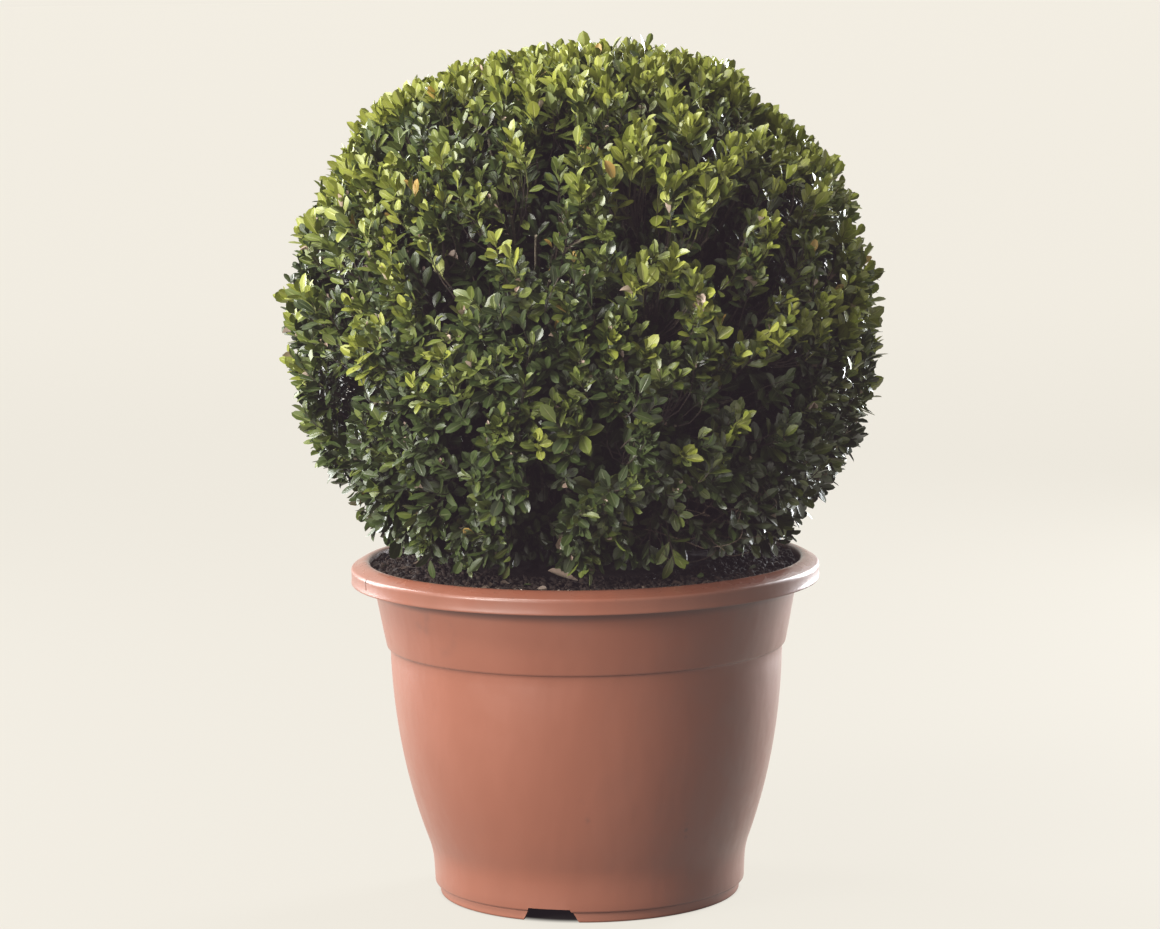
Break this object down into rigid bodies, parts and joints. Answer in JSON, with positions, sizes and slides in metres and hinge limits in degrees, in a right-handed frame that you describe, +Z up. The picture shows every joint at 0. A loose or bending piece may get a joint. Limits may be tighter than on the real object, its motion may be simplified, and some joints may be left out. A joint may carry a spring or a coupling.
{
  "type": "potted box topiary ball",
  "caption": "Evergreen box shrub clipped to a leafy ball, growing in a round terracotta-coloured plastic nursery pot filled with compost.",
  "frame": {"origin": "centre of the pot's underside, on the ground", "axes": "+Z up along the pot's axis, the side seen from the front faces -Y, +X to its right"},
  "size_m": [0.5461, 0.5444, 0.7929],
  "materials": {
    "pot_plastic": "satin moulded terracotta-coloured plastic",
    "compost": "dark, moist, crumbly compost",
    "bark": "matt, finely cracked grey-brown bark",
    "leaves": "glossy small evergreen leaves, dark green with yellow-green new growth"
  },
  "bodies": {
    "root": {"pot": "pot_plastic", "soil": "compost", "trunk": "bark", "bough_1": "bark", "bough_2": "bark", "bough_3": "bark", "bough_4": "bark", "bough_5": "bark", "foliage_ball": "leaves"}
  },
  "joints": []
}
